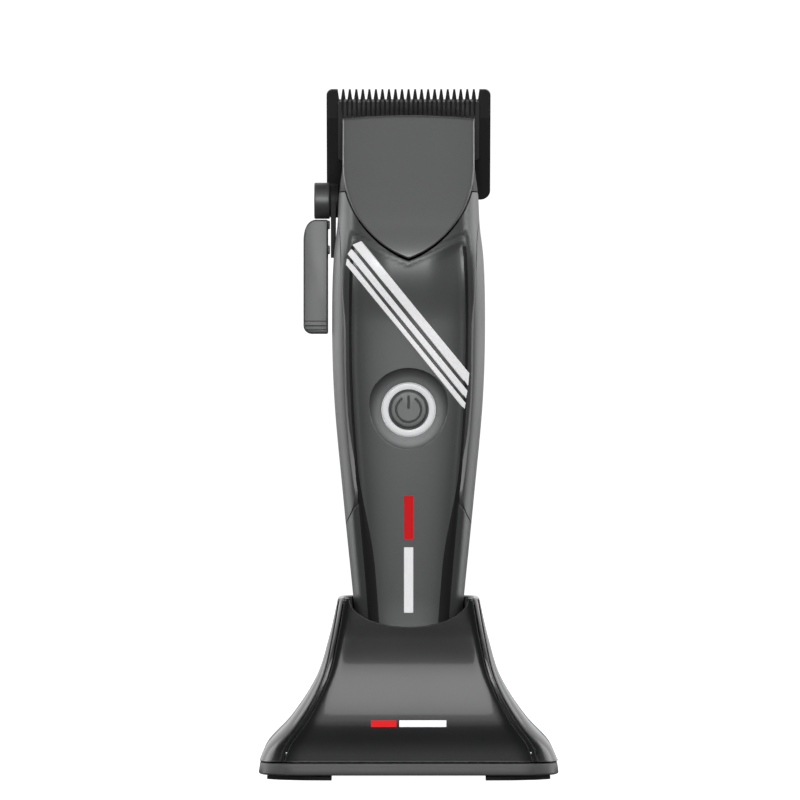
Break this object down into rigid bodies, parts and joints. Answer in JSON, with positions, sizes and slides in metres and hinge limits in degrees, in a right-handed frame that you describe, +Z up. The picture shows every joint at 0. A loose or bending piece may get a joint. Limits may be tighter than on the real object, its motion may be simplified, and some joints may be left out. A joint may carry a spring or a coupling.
{
  "type": "hair clipper",
  "caption": "Cordless hair clipper with a taper lever and a toothed blade set, standing upright in its charging stand.",
  "frame": {"origin": "on the floor, under the middle of the stand's base", "axes": "+Z up, -Y is the button side, the taper lever is on the -X side"},
  "size_m": [0.0832, 0.072, 0.1922],
  "materials": {
    "gunmetal_paint": "satin gunmetal grey metallic paint",
    "grip_paint": "satin lighter grey metallic paint",
    "black_plastic": "matte",
    "gloss_black": "high gloss",
    "blade_steel": "black coated, fine vertical grind",
    "bright_steel": "fine brushed",
    "stripe_foil": "white with fine sparkle",
    "light_diffuser": "translucent white",
    "contact_brass": "polished",
    "circuit_board": "solder mask",
    "battery_wrap": "shrink wrap",
    "foot_rubber": "matte"
  },
  "bodies": {
    "stand": {"stand_shell": "gloss_black", "stand_front_panel": "gloss_black", "stand_cradle": "black_plastic", "stand_skirt": "gloss_black", "stand_bottom_cover": "black_plastic", "stand_foot_front_left": "foot_rubber", "stand_foot_front_right": "foot_rubber", "stand_foot_rear_left": "foot_rubber", "stand_foot_rear_right": "foot_rubber", "stand_screw_front_left": "bright_steel", "stand_screw_front_right": "bright_steel", "stand_screw_rear_left": "bright_steel", "stand_screw_rear_right": "bright_steel", "stand_board": "circuit_board", "stand_socket": "bright_steel", "stand_pin_block": "black_plastic"},
    "clipper": {"front_housing": "gunmetal_paint", "rear_housing": "gunmetal_paint", "head_shield": "gunmetal_paint", "head_frame": "black_plastic", "side_grip_left": "grip_paint", "side_grip_right": "grip_paint", "stripe_wide": "stripe_foil", "stripe_middle": "stripe_foil", "stripe_narrow": "stripe_foil", "tail_cap": "black_plastic", "tail_socket": "bright_steel", "tail_contact_left": "contact_brass", "tail_contact_right": "contact_brass", "housing_screw_lower": "bright_steel", "housing_screw_upper": "bright_steel", "light_ring": "light_diffuser", "tact_switch": "black_plastic", "main_board": "circuit_board", "battery": "battery_wrap", "battery_holder": "black_plastic", "motor": "bright_steel", "motor_mount": "black_plastic", "fixed_blade": "blade_steel", "blade_screw_left": "bright_steel", "blade_screw_right": "bright_steel"},
    "lever": {"lever_hub": "gunmetal_paint", "lever_arm": "black_plastic", "lever_paddle": "gunmetal_paint", "lever_shaft": "bright_steel", "lever_screw": "bright_steel"},
    "carriage": {"cutter_carriage": "bright_steel", "tension_spring": "bright_steel"},
    "cutter": {"cutter_blade": "blade_steel", "drive_yoke": "black_plastic"},
    "rotor": {"motor_shaft": "bright_steel", "crank": "bright_steel"},
    "button": {"power_button": "gunmetal_paint"},
    "pin_left": {"charge_pin_left": "contact_brass"},
    "pin_right": {"charge_pin_right": "contact_brass"}
  },
  "joints": [
    {"name": "clipper_lift", "type": "slide", "parent": "stand", "child": "clipper", "axis": [0, 0, 1], "range_m": [0, 0.045]},
    {"name": "taper_lever", "type": "hinge", "parent": "clipper", "child": "lever", "pos_m": [-0.0235, 0.009, 0.161], "axis": [1, 0, 0], "range_deg": [0, 32]},
    {"name": "cutter_carriage", "type": "slide", "parent": "clipper", "child": "carriage", "axis": [0, -0.4226, 0.9063], "range_m": [0, 0.0012]},
    {"name": "cutter_drive", "type": "slide", "parent": "carriage", "child": "cutter", "axis": [1, 0, 0], "range_m": [-0.0012, 0.0012]},
    {"name": "motor_spin", "type": "hinge", "parent": "clipper", "child": "rotor", "pos_m": [0, -0.0005, 0.144], "axis": [0, 0, 1], "continuous": true},
    {"name": "power_button", "type": "slide", "parent": "clipper", "child": "button", "axis": [0, 1, 0], "range_m": [0, 0.0006], "stiffness_N_per_m": 600},
    {"name": "charge_pin_left", "type": "slide", "parent": "stand", "child": "pin_left", "axis": [0, 0, 1], "range_m": [-0.0008, 0], "stiffness_N_per_m": 300},
    {"name": "charge_pin_right", "type": "slide", "parent": "stand", "child": "pin_right", "axis": [0, 0, 1], "range_m": [-0.0008, 0], "stiffness_N_per_m": 300}
  ],
  "couplings": [
    {"joint": "taper_lever", "follows": "cutter_carriage", "rad_per_m": 465.42}
  ]
}
